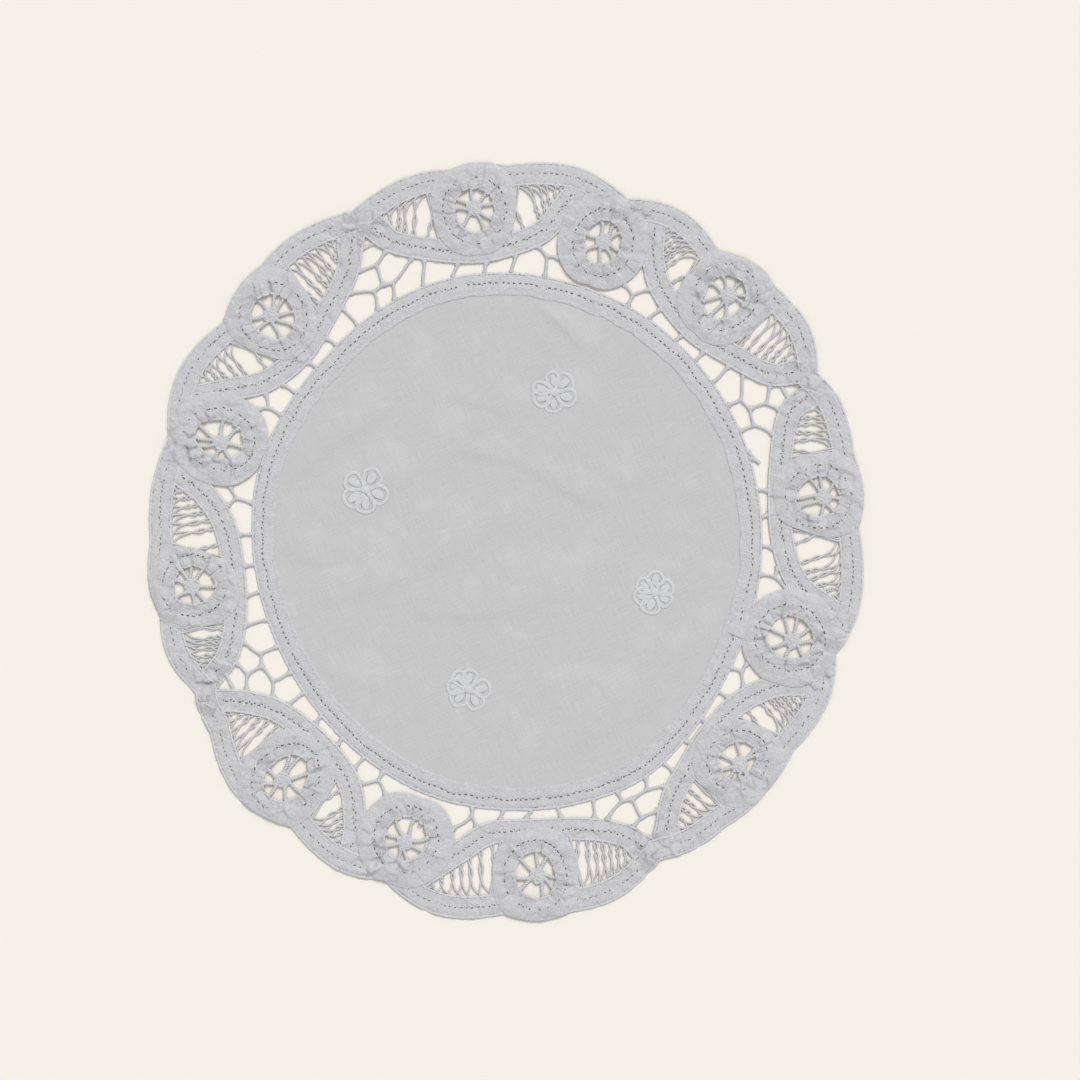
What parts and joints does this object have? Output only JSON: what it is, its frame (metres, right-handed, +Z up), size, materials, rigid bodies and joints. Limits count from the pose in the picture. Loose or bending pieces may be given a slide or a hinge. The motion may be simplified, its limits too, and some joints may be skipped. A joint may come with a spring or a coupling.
{
  "type": "lace doily",
  "caption": "Round flat doily: a plain woven centre with stitched flowers, edged with tape lace of pointed eyes, gathered rings with thread wheels and thread bars.",
  "frame": {"origin": "middle of the doily on its flat underside", "axes": "+Z up, out of the face with the stitched flowers; +X and +Y in the plane of the doily"},
  "size_m": [0.3114, 0.3301, 0.0027],
  "materials": {
    "cotton_cloth": "plain-woven matte white cotton",
    "woven_tape": "matte white woven cotton tape with a ladder of small holes along its middle",
    "cotton_thread": "twisted white cotton thread, faint sheen",
    "embroidery": "raised white cotton stitches, faint sheen"
  },
  "bodies": {
    "root": {"centre_cloth": "cotton_cloth", "centre_tape": "woven_tape", "eye_tape_1": "woven_tape", "eye_tape_2": "woven_tape", "eye_tape_3": "woven_tape", "eye_tape_4": "woven_tape", "eye_tape_5": "woven_tape", "eye_tape_6": "woven_tape", "eye_tape_7": "woven_tape", "eye_tape_8": "woven_tape", "ring_tape_1": "woven_tape", "ring_tape_2": "woven_tape", "ring_tape_3": "woven_tape", "ring_tape_4": "woven_tape", "ring_tape_5": "woven_tape", "ring_tape_6": "woven_tape", "ring_tape_7": "woven_tape", "ring_tape_8": "woven_tape", "ring_tape_a": "woven_tape", "ring_tape_c": "woven_tape", "ring_tape_e": "woven_tape", "ring_tape_g": "woven_tape", "wheel_1": "cotton_thread", "wheel_2": "cotton_thread", "wheel_3": "cotton_thread", "wheel_4": "cotton_thread", "wheel_5": "cotton_thread", "wheel_6": "cotton_thread", "wheel_7": "cotton_thread", "wheel_8": "cotton_thread", "wheel_a": "cotton_thread", "wheel_c": "cotton_thread", "wheel_e": "cotton_thread", "wheel_g": "cotton_thread", "panel_1a": "cotton_thread", "panel_1b": "cotton_thread", "panel_2a": "cotton_thread", "panel_2b": "cotton_thread", "panel_3a": "cotton_thread", "panel_3b": "cotton_thread", "panel_4a": "cotton_thread", "panel_4b": "cotton_thread", "panel_5a": "cotton_thread", "panel_5b": "cotton_thread", "panel_6a": "cotton_thread", "panel_6b": "cotton_thread", "panel_7a": "cotton_thread", "panel_7b": "cotton_thread", "panel_8a": "cotton_thread", "panel_8b": "cotton_thread", "bar_net_1": "cotton_thread", "bar_net_2": "cotton_thread", "bar_net_3": "cotton_thread", "bar_net_4": "cotton_thread", "flower_1": "embroidery", "flower_2": "embroidery", "flower_3": "embroidery", "flower_4": "embroidery"}
  },
  "joints": []
}
